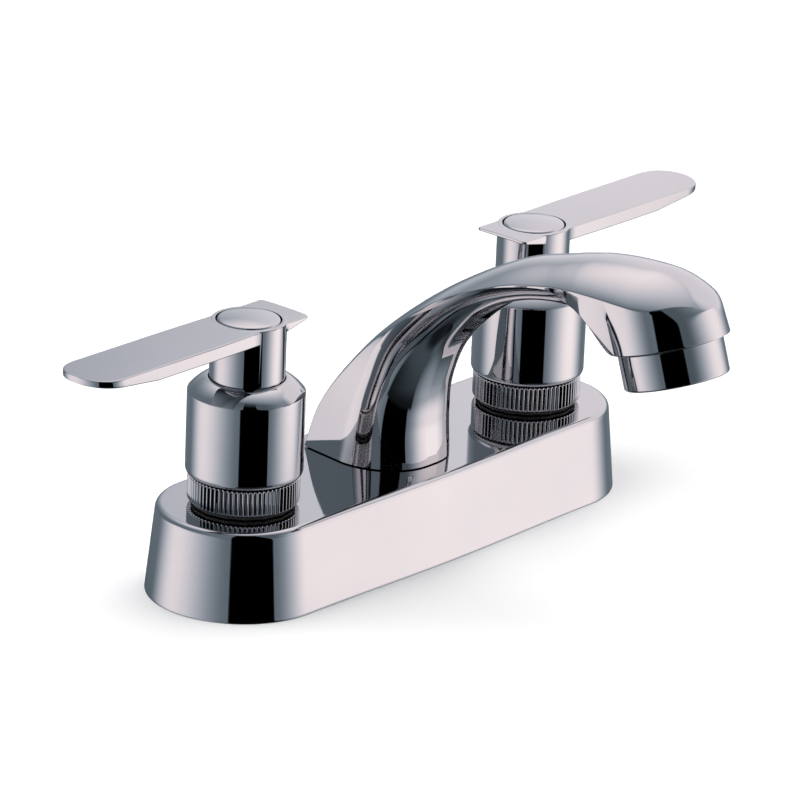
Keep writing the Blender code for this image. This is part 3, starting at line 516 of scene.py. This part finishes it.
def arch_sections():
    """Control sections from the foot to the back of the nose, and one more to steer into the nose.

    Each has the inner and outer points of the middle plane, the half widths at the crease and under it,
    the crown's height over the crease, the width and height at which the lower corners start, and how
    straight those corners are cut.
    """
    rows = (
        ((-14.1, 21.9), (18.5, 21.9), 13.5, 15.0, 3.7, 2.0, 15.2, 0.0),
        ((-13.5, 32.4), (14.9, 33.2), 12.9, 14.2, 3.7, 2.0, 13.0, 0.0),
        ((-14.6, 42.5), (7.9, 43.7), 12.4, 13.1, 3.7, 2.4, 11.8, 0.0),
        ((-20.0, 54.0), (-3.4, 56.1), 11.8, 12.1, 3.5, 3.2, 12.2, 0.0),
        ((-30.9, 65.3), (-19.9, 69.2), 11.3, 11.4, 3.3, 4.6, 7.9, 0.0),
        ((-44.0, 72.6), (-38.4, 79.9), 11.0, 11.1, 4.3, 6.0, 4.5, 0.1),
        ((-57.0, 75.5), (-53.4, 84.9), 11.4, 11.4, 5.1, 6.5, 4.2, 0.3),
        ((-65.0, 73.2), (-60.4, 86.8), 12.25, 12.25, 5.8, 4.4, 5.2, 0.7),
    )
    sections = []
    for inner, outer, *numbers in rows:
        start = Vector((0.0, *inner)) * MM
        end = Vector((0.0, *outer)) * MM
        sections.append((start, end, Vector(numbers)))
    start, end, numbers = nose_section(-NOSE_RIM_RADIUS)
    sections.append((start, end, numbers))
    _, end_ahead, numbers_ahead = nose_section(-NOSE_RIM_RADIUS + NOSE_LEAD_IN)
    steer = 2 * numbers - sections[-2][2]
    steer[0], steer[2] = numbers_ahead[0], numbers_ahead[2]
    sections.append((2 * start - sections[-2][0], end_ahead, steer))
    return sections


def nose_section(forward):
    """The section at a place along the nose, with its numbers as above."""
    crease = forward * NOSE_CREASE_RADIUS / NOSE_RIM_RADIUS if forward > 0 else forward
    dome = (NOSE_CREASE_RADIUS**2 + NOSE_CROWN**2) / (2 * NOSE_CROWN)
    rim_width = math.sqrt(max(NOSE_RIM_RADIUS**2 - forward**2, 0.0))
    start = outlet_point(forward, 0.0)
    if forward > 0:
        width = math.sqrt(max(NOSE_CREASE_RADIUS**2 - crease**2, 0.0))
        crown = math.sqrt(dome**2 - crease**2) - (dome - NOSE_CROWN)
        cut = 0.0
        low_width = rim_width
    else:
        back = -forward / NOSE_RIM_RADIUS
        width = NOSE_CREASE_RADIUS - NOSE_NECKING * back**2
        crown = NOSE_CROWN + (NOSE_BACK_CROWN - NOSE_CROWN) * back**2
        cut = max(-forward - NOSE_CUT_START, 0.0) / (NOSE_RIM_RADIUS - NOSE_CUT_START)
        low_width = rim_width if cut == 0.0 else NOSE_CUT_WIDTH + (width - NOSE_CUT_WIDTH) * cut
    end = outlet_point(crease, crease_above(crease) + crown)
    corner = min(NOSE_RIM_EDGE, 0.2 * rim_width) + (NOSE_CUT_HEIGHT - NOSE_RIM_EDGE) * cut
    flat = max(rim_width - NOSE_RIM_EDGE, 0.9 * rim_width) + NOSE_CUT_SPREAD * cut**4
    corner = max(corner, 0.1 * NOSE_RIM_EDGE)
    return start, end, Vector((width / MM, low_width / MM, crown / MM, flat / MM, corner / MM, cut))


def section_points(inner, outer, numbers, ease=CREASE_EASE):
    """One closed ring: crowned outer face, eased crease, side wall, lower corner and inner face."""
    width, low_width, crown, flat, corner = [n * MM for n in numbers[:5]]
    straight = min(max(numbers[5], 0.0), 1.0)
    depth = (outer - inner).length
    away = (outer - inner).normalized()
    radius = (width * width + crown * crown) / (2 * crown)
    crease = depth - crown
    side = crease - corner
    ease = min(ease, 0.4 * width, 0.4 * side)
    half = []
    for i in range(FACE_STEPS + 1):
        x = (width - ease) * math.sin(math.pi / 2 * i / FACE_STEPS)
        half.append((x, depth - radius + math.sqrt(max(radius * radius - x * x, 0.0))))
    edge = Vector((width, crease))
    above = Vector(half[-1])
    below = Vector((width + (low_width - width) * ease / side, crease - ease))
    for i in range(1, EASE_STEPS + 1):
        share = i / EASE_STEPS
        half.append(tuple(above * (1 - share) ** 2 + edge * 2 * share * (1 - share) + below * share**2))
    for i in range(1, SIDE_STEPS + 1):
        share = ease / side + (1 - ease / side) * i / SIDE_STEPS
        half.append((width + (low_width - width) * share, crease - side * share))
    power = 1 + straight
    for i in range(1, CORNER_STEPS + 1):
        turn = math.pi / 2 * i / CORNER_STEPS
        across = max(math.cos(turn), 0.0) ** power
        half.append((flat + (low_width - flat) * across, corner * (1 - math.sin(turn) ** power)))
    half += [(0.75 * flat, 0.0), (0.5 * flat, 0.0), (0.25 * flat, 0.0), (0.0, 0.0)]
    mirrored = [(-x, v) for x, v in reversed(half[1:-1])]
    return [Vector((x, 0.0, 0.0)) + inner + away * v for x, v in half + mirrored]


def spout_rings():
    """Rings from the foot over the arch, then forward over the outlet to the nose's front."""
    inner, outer, numbers = zip(*arch_sections())
    rings = []
    for i in range(ARCH_STEPS):
        share = i / ARCH_STEPS
        rings.append(section_points(spline(inner, share), spline(outer, share), spline(numbers, share)))
    for i in range(2 * NOSE_STEPS):
        turn = math.pi * (i / (2 * NOSE_STEPS - 0.85) - 0.5)
        ahead = math.sin(turn)
        share = min(max((ahead - NOSE_EASE_START) / NOSE_EASE_LENGTH, 0.0), 1.0)
        ease = CREASE_EASE + (NOSE_EASE - CREASE_EASE) * share**2 * (3 - 2 * share)
        rings.append(section_points(*nose_section(NOSE_RIM_RADIUS * ahead), ease))
    return rings


def along_outlet(mesh):
    """Turns a piece modelled up +Z so that it hangs from the rim, with z = 0 on the rim plane."""
    mesh.transform(Matrix.Translation(OUTLET_CENTRE) @ Matrix.Rotation(-OUTLET_TILT, 4, "X"))
    return mesh


def water_channel():
    """The flattened channel that runs inside the arch, as a row of oval rings."""
    inner, outer, numbers = zip(*arch_sections())
    heights = (SPIGOT_BOTTOM + 4 * MM, SPOUT_FOOT)
    rings = [circle(CHANNEL_RADIUS, height, CHANNEL_STEPS) for height in heights]
    steps = 10
    for i in range(2, steps + 1):
        share = CHANNEL_END * i / steps
        start, end = spline(inner, share), spline(outer, share)
        away = (end - start).normalized()
        depth = (end - start).length
        across = min(spline(numbers, share)[0] * MM - CHANNEL_SIDE_WALL, CHANNEL_HALF_WIDTH)
        along = min(depth / 2 - CHANNEL_FACE_WALL, CHANNEL_HALF_DEPTH)
        middle = start + away * (depth / 2 - CHANNEL_OFFSET)
        oval = circle(1.0, 0.0, CHANNEL_STEPS)
        rings.append([middle + Vector((p.x * across, 0, 0)) + away * (p.y * along) for p in oval])
    rings.append([p + CHANNEL_INTO_NOSE for p in rings[-1]])
    return loft("water_channel", rings)


def make_spout():
    """One casting with its spigot and outlet, bored by the channel, the mouth and a cross port."""
    port = rod("port", PORT_RADIUS, -10 * MM, 10 * MM, 16)
    port.transform(Matrix.Translation((0, 0, PORT_HEIGHT)) @ Matrix.Rotation(math.pi / 2, 4, "Y"))
    mouth = rod("mouth", OUTLET_BORE, -OUTLET_SPIGOT_LENGTH - 1 * MM, 10 * MM, BORE_STEPS)
    groove = tube("groove", GROOVE_RADIUS, SPIGOT_RADIUS + 1 * MM, GROOVE_BOTTOM, GROOVE_TOP, BORE_STEPS)
    mesh = combined(
        loft("fine_spout", spout_rings()),
        ("UNION", rod("spigot", SPIGOT_RADIUS, SPIGOT_BOTTOM, SPOUT_FOOT + 3 * MM, BORE_STEPS)),
        ("UNION", along_outlet(rod("outlet", OUTLET_SPIGOT_RADIUS, -OUTLET_SPIGOT_LENGTH, 3 * MM, 96))),
        ("DIFFERENCE", water_channel()),
        ("DIFFERENCE", along_outlet(mouth)),
        ("DIFFERENCE", groove),
        ("DIFFERENCE", port),
    )
    chrome_piece("fine_spout", mesh, "tap_body", "spout", sharp=14.0)


def make_aerator():
    top = -GAP
    bottom = -AERATOR_LENGTH
    lip = bottom + AERATOR_LIP
    bore = OUTLET_SPIGOT_RADIUS + GAP
    housing = [(AERATOR_MOUTH, bottom)]
    housing += fillet((AERATOR_RADIUS - 0.5 * MM, bottom + 0.5 * MM), 0.5 * MM, -90, 0, 6)
    housing += fillet((AERATOR_RADIUS - 0.3 * MM, top - 0.3 * MM), 0.3 * MM, 0, 90, 4)
    housing += [(bore, top), (bore, lip), (AERATOR_MOUTH, lip)]
    cup = along_outlet(turned("fine_aerator", housing))
    chrome_piece("fine_aerator", cup, "tap_body", "aerator_housing")


def ribbed_circle(height, crest):
    """The knurl's section: rounded ribs between narrow roots; with no crest, a plain circle."""
    points = []
    rib_points = 8
    for rib in range(RING_RIBS):
        for i in range(rib_points):
            share = i / rib_points
            rise = crest * (0.5 - 0.5 * math.cos(2 * math.pi * share)) ** 0.8
            turn = 2 * math.pi * (rib + share) / RING_RIBS
            radius = RING_RADIUS - RING_RIB_HEIGHT * (1 - rise)
            points.append(Vector((radius * math.cos(turn), radius * math.sin(turn), height)))
    return points


def make_ring(side, x):
    chamfer = 0.45 * MM
    rings = []
    for start, direction in ((RING_BOTTOM, 1), (RING_TOP, -1)):
        rows = []
        for i in range(4):
            height = start + direction * chamfer * i / 3
            rows.append(ribbed_circle(height, math.sin(math.pi / 2 * i / 3)))
        rings += rows if direction > 0 else rows[::-1]
    bore = rod("bore", RING_BORE, RING_BOTTOM - 1 * MM, RING_TOP + 1 * MM, 96)
    mesh = combined(loft("ring", rings), ("DIFFERENCE", bore))
    chrome_piece(f"fine_ring_{side}", placed(mesh, x), "tap_body", f"knurled_ring_{side}", sharp=50.0)


def make_bonnet(side, x):
    """A round cover that seats on the cartridge's flange: soft lower edge, crisp rim, low shoulder."""
    inner = BONNET_RADIUS - BONNET_WALL
    edge = 1.3 * MM
    rim = 0.5 * MM
    profile = [(inner, BONNET_BOTTOM)]
    profile += fillet((BONNET_RADIUS - edge, BONNET_BOTTOM + edge), edge, -90, 0, 10)
    profile.append((BONNET_RADIUS, BONNET_BOTTOM + edge + GUARD))
    profile.append((BONNET_RADIUS, BONNET_RIM - rim - GUARD))
    profile += fillet((BONNET_RADIUS - rim, BONNET_RIM - rim), rim, 0, BONNET_RIM_TURN, 6)
    start = profile[-1]
    shoulder_steps = 24
    for i in range(1, shoulder_steps + 1):
        share = i / shoulder_steps
        reach = start[0] + (BONNET_HOLE - start[0]) * share
        rise = 1 - (1 - share) ** BONNET_SHOULDER_POWER
        profile.append((reach, start[1] + (BONNET_TOP - start[1]) * rise))
    ledge = CHAMBER_TOP + GAP + CARTRIDGE_FLANGE + GAP
    profile.append((BONNET_HOLE, BONNET_TOP - BONNET_TOP_WALL))
    profile.append((inner - BONNET_LEDGE, BONNET_TOP - BONNET_CONE_DEPTH))
    profile.append((inner - BONNET_LEDGE, ledge))
    profile.append((inner, ledge))
    mesh = placed(turned("bonnet", profile), x)
    chrome_piece(f"fine_bonnet_{side}", mesh, "tap_body", f"bonnet_{side}")


def lever_section(x, half_width, top, thickness, inset=0.0):
    """One cross section of the blade: slightly crowned top, rounded edges and flat underside."""
    half_width -= inset
    thickness -= 2 * inset
    top -= inset
    ease = min(BLADE_EDGE, 0.3 * thickness, 0.3 * half_width)
    flat = half_width - ease
    crown = LEVER_CROWN * (flat / BLADE_HALF_WIDTH) ** 2
    top_steps, ease_steps = 10, 5
    half = []
    for i in range(top_steps):
        y = flat * i / top_steps
        half.append((y, top - crown * (y / flat) ** 2))
    edge_top = top - crown
    half += fillet((flat, edge_top - ease), ease, 90, 0, ease_steps)
    half += fillet((flat, top - thickness + ease), ease, 0, -90, ease_steps)
    half += [(flat * 0.66, top - thickness), (flat * 0.33, top - thickness), (0.0, top - thickness)]
    ring = half + [(-y, z) for y, z in reversed(half[1:-1])]
    return [Vector((x, y, z)) for y, z in ring]


def blade_width(x):
    """Half width along the lever: a squarish tail, straight sides and a round tip."""
    straight = BLADE_REACH - BLADE_TIP_LENGTH
    if x > straight:
        share = (x - straight) / BLADE_TIP_LENGTH
        return BLADE_HALF_WIDTH * max(1 - share**BLADE_TIP_POWER, 0.0) ** (1 / BLADE_TIP_POWER)
    if x < 0:
        corner = max(-x - (TAIL_REACH - TAIL_CORNER), 0.0) / TAIL_CORNER
        return TAIL_HALF_WIDTH - TAIL_CORNER * corner**2
    return TAIL_HALF_WIDTH + (BLADE_HALF_WIDTH - TAIL_HALF_WIDTH) * min(x / BLADE_FULL_WIDTH_AT, 1.0)


def blade_thickness(x):
    if x < 0:
        return BLADE_ROOT_THICKNESS + (TAIL_END_THICKNESS - BLADE_ROOT_THICKNESS) * (-x / TAIL_REACH)
    share = max(x - BLADE_TAPER_START, 0.0) / (BLADE_REACH - BLADE_TAPER_START)
    return BLADE_ROOT_THICKNESS + (BLADE_TIP_THICKNESS - BLADE_ROOT_THICKNESS) * share


def blade_mesh():
    end_ease = 0.2 * MM
    rings = []
    for i in range(5):
        turn = math.pi / 2 * i / 4
        x = -TAIL_REACH + end_ease * (1 - math.cos(turn))
        inset = end_ease * (1 - math.sin(turn))
        rings.append(lever_section(x, blade_width(x), LEVER_TOP, blade_thickness(x), inset))
    straight = BLADE_REACH - BLADE_TIP_LENGTH
    stations = between(-TAIL_REACH + end_ease, -TAIL_REACH + TAIL_CORNER, 5)
    stations += between(-TAIL_REACH + TAIL_CORNER, 0.0, 6)
    stations += between(0.0, BLADE_FULL_WIDTH_AT, 6)
    stations += between(BLADE_FULL_WIDTH_AT, BLADE_TAPER_START, 5)
    stations += between(BLADE_TAPER_START, straight, 4)[:-1]
    tip_steps = 36
    for i in range(tip_steps + 1):
        turn = math.pi / 2 * i / (tip_steps + 0.25)
        stations.append(straight + BLADE_TIP_LENGTH * math.sin(turn))
    rings += [lever_section(x, blade_width(x), LEVER_TOP, blade_thickness(x)) for x in stations]
    return loft("blade", rings)


def make_lever(side, x, turn):
    """Neck, blade and tail in one casting, open below for the spindle and above for the cap."""
    edge = 0.4 * MM
    neck = fillet((NECK_RADIUS - edge, NECK_BOTTOM + edge), edge, -90, 0, 5)
    neck += fillet((NECK_RADIUS - edge, LEVER_TOP - NECK_DROP - edge), edge, 0, 90, 6)
    floor = LEVER_TOP - RECESS_DEPTH
    hollow = [
        (SPINDLE_RADIUS + GAP, NECK_BOTTOM - 1 * MM),
        (SPINDLE_RADIUS + GAP, SPINDLE_TOP + GAP),
        (SCREW_HOLE_RADIUS, SPINDLE_TOP + GAP),
        (SCREW_HOLE_RADIUS, floor),
        (CAP_RADIUS + GAP, floor),
        (CAP_RADIUS + GAP, LEVER_TOP + 1 * MM),
    ]
    mesh = combined(
        turned("lever", neck, bored=False),
        ("UNION", blade_mesh()),
        ("DIFFERENCE", turned("hollow", hollow, CAP_STEPS, bored=False)),
    )
    chrome_piece(f"fine_lever_{side}", placed(mesh, x, turn), f"{side}_handle", f"lever_{side}")


def make_cap(side, x):
    """The domed disc with a rounded edge that clips into the lever's recess over the screw."""
    low = LEVER_TOP - CAP_DEPTH
    hollow_top = LEVER_TOP - CAP_HOLLOW_TOP
    slope = math.radians(CAP_EDGE_SLOPE)
    reach = CAP_RADIUS - CAP_EDGE_RADIUS * (1 - math.sin(slope))
    dome = reach * math.tan(slope) / 2
    shoulder = LEVER_TOP + CAP_RISE - dome
    edge_centre = (CAP_RADIUS - CAP_EDGE_RADIUS, shoulder - CAP_EDGE_RADIUS * math.cos(slope))
    profile = [(WELD, hollow_top), (CAP_HOLLOW_RADIUS, hollow_top), (CAP_HOLLOW_RADIUS, low)]
    profile += [(CAP_RADIUS, low), (CAP_RADIUS, edge_centre[1] - GUARD)]
    profile += fillet(edge_centre, CAP_EDGE_RADIUS, 0, 90 - CAP_EDGE_SLOPE, 10)
    dome_steps = 16
    for i in range(1, dome_steps + 1):
        share = 1 - i / dome_steps
        profile.append((max(reach * share, WELD), shoulder + dome * (1 - share**2)))
    mesh = placed(turned("cap", profile, CAP_STEPS, bored=False), x)
    chrome_piece(f"fine_cap_{side}", mesh, f"{side}_handle", f"lever_cap_{side}")


def dress_frame():
    """Gives the frame's own pieces, most of them inside, the finish of their slot."""
    for row in frame["record"]["subparts"]:
        node = frame["nodes"][row["node"]]
        for slot in node.material_slots:
            slot.material = finishes[row["material_slot"]]


def add_floor():
    bm = bmesh.new()
    corners = ((-1, -1), (1, -1), (1, 1), (-1, 1))
    bm.faces.new([bm.verts.new((x * FLOOR_REACH, y * FLOOR_REACH, 0.0)) for x, y in corners])
    floor = scene_object("floor", mesh_from(bm, "floor"))
    floor.visible_glossy = False
    made = bpy.data.materials.new("pale_floor")
    made.use_nodes = True
    graph = Graph(made.node_tree)
    shader = made.node_tree.nodes["Principled BSDF"]
    shader.inputs["Roughness"].default_value = 0.9
    shader.inputs["Specular IOR Level"].default_value = 0.0
    place = graph.node("ShaderNodeTexCoord").outputs["Object"]
    colour = graph.mix(graph.noise(place, 3.0), (0.90, 0.90, 0.90), (0.92, 0.92, 0.92))
    made.node_tree.links.new(colour, shader.inputs["Base Color"])
    floor.data.materials.append(made)


def studio_direction(graph):
    """Where a point of the tent lies: azimuth to the camera's right, the same counted from 0 to 360,
    elevation, and closeness to the middle of the panel behind and above. All but the last in degrees."""
    place = graph.node("ShaderNodeTexCoord").outputs["Object"]
    outward = graph.node("ShaderNodeVectorMath", {0: place}, operation="NORMALIZE").outputs[0]
    split = graph.node("ShaderNodeSeparateXYZ", {0: outward}).outputs
    toward = (-math.sin(CAMERA_TURN), -math.cos(CAMERA_TURN))
    right = (math.cos(CAMERA_TURN), -math.sin(CAMERA_TURN))
    parts = []
    for axis in (toward, right):
        across = graph.math("MULTIPLY", split[0], axis[0])
        along = graph.math("MULTIPLY", split[1], axis[1])
        parts.append(graph.math("ADD", across, along))
    degree = 180 / math.pi
    azimuth = graph.math("MULTIPLY", graph.math("ARCTAN2", parts[1], parts[0]), degree)
    reverse = [graph.math("MULTIPLY", part, -1.0) for part in parts]
    around = graph.math("MULTIPLY", graph.math("ARCTAN2", reverse[1], reverse[0]), degree)
    around = graph.math("ADD", around, 180.0)
    elevation = graph.math("MULTIPLY", graph.math("ARCSINE", split[2]), degree)
    away = graph.math("MULTIPLY", parts[0], -math.cos(PANEL_RISE))
    above = graph.math("MULTIPLY", split[2], math.sin(PANEL_RISE))
    return azimuth, around, elevation, graph.math("ADD", away, above)


def side_boxes(graph, azimuth, elevation):
    """The upright softboxes left and right of the tap."""
    lean = graph.math("MINIMUM", graph.math("MULTIPLY", graph.math("ADD", azimuth, 82.0), 0.6), 0.0)
    left = graph.product(
        graph.step(azimuth, -122, -82, 0, 0.54),
        graph.step(azimuth, -80, -14, 1, 0),
        graph.step(graph.math("SUBTRACT", elevation, lean), 8, 18, 1, 0),
    )
    right = graph.product(
        graph.step(azimuth, 38, 94, 0, 0.66),
        graph.step(azimuth, 98, 138, 1, 0),
        graph.step(elevation, 22, 38, 1, 0.2),
    )
    return graph.math("ADD", left, right)


def panels_behind(graph, around, elevation, facing_back):
    """The large panel behind and above the tap, and the lit wall under it."""
    overhead = graph.product(
        graph.step(facing_back, 0.46, 0.58, 0, 1),
        graph.math("MULTIPLY_ADD", facing_back, 1.30, -0.63),
        graph.step(elevation, 22, 60, 0.4, 1),
    )
    wall = graph.product(
        graph.step(around, 84, 112, 0, 0.50),
        graph.step(around, 164, 228, 1, 0.1),
        graph.step(elevation, -5, 12),
        graph.step(elevation, 46, 66, 1, 0),
    )
    return graph.math("MAXIMUM", overhead, wall)


def studio_light(graph):
    """A dark room with softboxes, a black gap where the camera stands, and the table's dark middle.

    Each step says between which degrees the brightness changes, and from what to what.
    """
    azimuth, around, elevation, facing_back = studio_direction(graph)
    boxes = side_boxes(graph, azimuth, elevation)
    panels = panels_behind(graph, around, elevation, facing_back)
    room = graph.step(elevation, -6, 6, 0.13, 0.08)
    low_shade = graph.step(elevation, -31, -18, 0.42, 1)
    low_shade = graph.math("MAXIMUM", low_shade, graph.window(azimuth, -55, 10, 20))
    light = graph.product(
        graph.math("ADD", graph.math("MAXIMUM", boxes, panels), room),
        low_shade,
        graph.step(elevation, -64, -28, 0.25, 1),
    )
    gap = graph.product(
        graph.step(azimuth, -14.0, -12.2),
        graph.step(graph.math("MULTIPLY_ADD", elevation, 0.27, azimuth), 33.0, 34.6, 1, 0),
        graph.step(elevation, 57, 67, 1, 0),
    )
    light = graph.math("MULTIPLY", light, graph.math("SUBTRACT", 1.0, gap))
    middle = graph.product(
        graph.step(azimuth, -20, -16),
        graph.step(graph.math("MULTIPLY_ADD", elevation, 0.4, azimuth), 37.5, 41.5, 1, 0),
        graph.step(elevation, -27, -24, 1, 0),
    )
    table = graph.step(elevation, -60, -26, 0.055, 0.006)
    light = graph.mix_value(middle, light, table)
    return graph.math("MULTIPLY", light, graph.step(elevation, -78, -66, 0.15, 1))


def add_light_tent():
    """The studio that the chrome mirrors: a lit tent, near enough to shift from piece to piece."""
    mesh = turned("light_tent", fillet((0.0, 0.0), TENT_RADIUS, -89.9, 89.9, 48), 96, bored=False)
    tent = scene_object("light_tent", mesh)
    tent.location = (0.0, 0.0, STUDIO_HEIGHT)
    tent.visible_camera = False
    tent.visible_diffuse = False
    tent.visible_transmission = False
    tent.visible_shadow = False
    made = bpy.data.materials.new("studio_light")
    made.use_nodes = True
    graph = Graph(made.node_tree)
    made.node_tree.nodes.remove(made.node_tree.nodes["Principled BSDF"])
    tint = graph.node("ShaderNodeValToRGB", {"Fac": studio_light(graph)})
    ramp = tint.color_ramp
    for place, _ in STUDIO_TINTS[1:-1]:
        ramp.elements.new(place)
    for element, (place, colour) in zip(ramp.elements, STUDIO_TINTS):
        element.position = place
        element.color = (*colour, 1.0)
    glow = graph.node("ShaderNodeEmission", {"Color": tint.outputs["Color"], "Strength": TENT_STRENGTH})
    surface = made.node_tree.nodes["Material Output"].inputs["Surface"]
    made.node_tree.links.new(glow.outputs[0], surface)
    mesh.materials.append(made)


def add_world():
    """White behind the tap, and a plain even light on the floor and seals."""
    world = bpy.data.worlds.new("studio")
    bpy.context.scene.world = world
    world.use_nodes = True
    graph = Graph(world.node_tree)
    camera_ray = graph.node("ShaderNodeLightPath").outputs["Is Camera Ray"]
    colour = graph.mix(camera_ray, (0.30, 0.30, 0.31), (1.0, 1.0, 1.0))
    world.node_tree.links.new(colour, world.node_tree.nodes["Background"].inputs["Color"])


def add_lamp(name, azimuth, elevation):
    """A soft lamp that lights the floor and the seals; the chrome mirrors the room instead."""
    back = bearing(CAMERA_TURN - math.radians(azimuth), math.radians(elevation))
    light = bpy.data.lights.new(name, "AREA")
    light.size = LAMP_SIZE
    light.energy = LAMP_POWER
    lamp = scene_object(name, light)
    lamp.location = back * LAMP_DISTANCE
    lamp.rotation_euler = back.to_track_quat("Z", "Y").to_euler()
    lamp.visible_glossy = False


finishes = make_finishes()
add_camera()
dress_frame()
make_base_cover()
make_spout()
make_aerator()
for side, x in sides():
    make_ring(side, x)
    make_bonnet(side, x)
    make_lever(side, x, math.pi if x < 0 else 0.0)
    make_cap(side, x)
add_floor()
add_light_tent()
add_world()
add_lamp("side_lamp", -70.0, 50.0)
add_lamp("top_lamp", 120.0, 65.0)
scene = bpy.context.scene
scene.view_settings.view_transform = "Standard"
